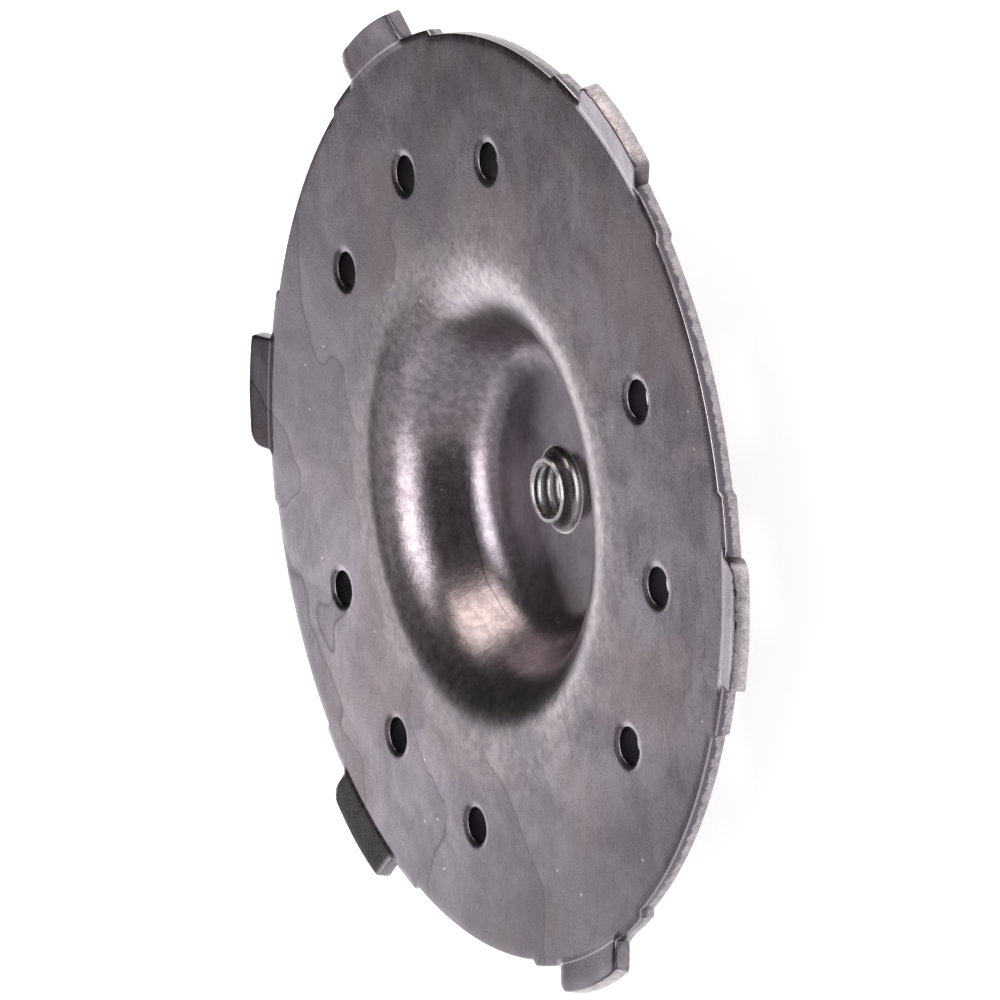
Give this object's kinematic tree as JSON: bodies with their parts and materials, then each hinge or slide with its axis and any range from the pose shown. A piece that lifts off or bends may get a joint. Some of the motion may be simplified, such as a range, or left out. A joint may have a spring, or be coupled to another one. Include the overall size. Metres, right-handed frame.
{
  "type": "clutch pressure plate",
  "caption": "Dished pressed-steel clutch pressure plate with rim drive tabs, drawn spring locator holes and a central threaded bush for the release adjuster.",
  "frame": {"origin": "on the clutch axis, at the rear face of the threaded bush, which is the lowest face when the plate lies with its spring side up", "axes": "+Z along the clutch axis towards the spring side, +X through the middle of one drive tab and the spring locator in line with it"},
  "size_m": [0.1538, 0.142, 0.0211],
  "materials": {
    "pressed_steel": "satin, bare pressed mild steel with light brown staining",
    "turned_steel": "bright turned and burnished"
  },
  "bodies": {
    "root": {"pressure_plate": "pressed_steel", "threaded_bush": "turned_steel"}
  },
  "joints": []
}
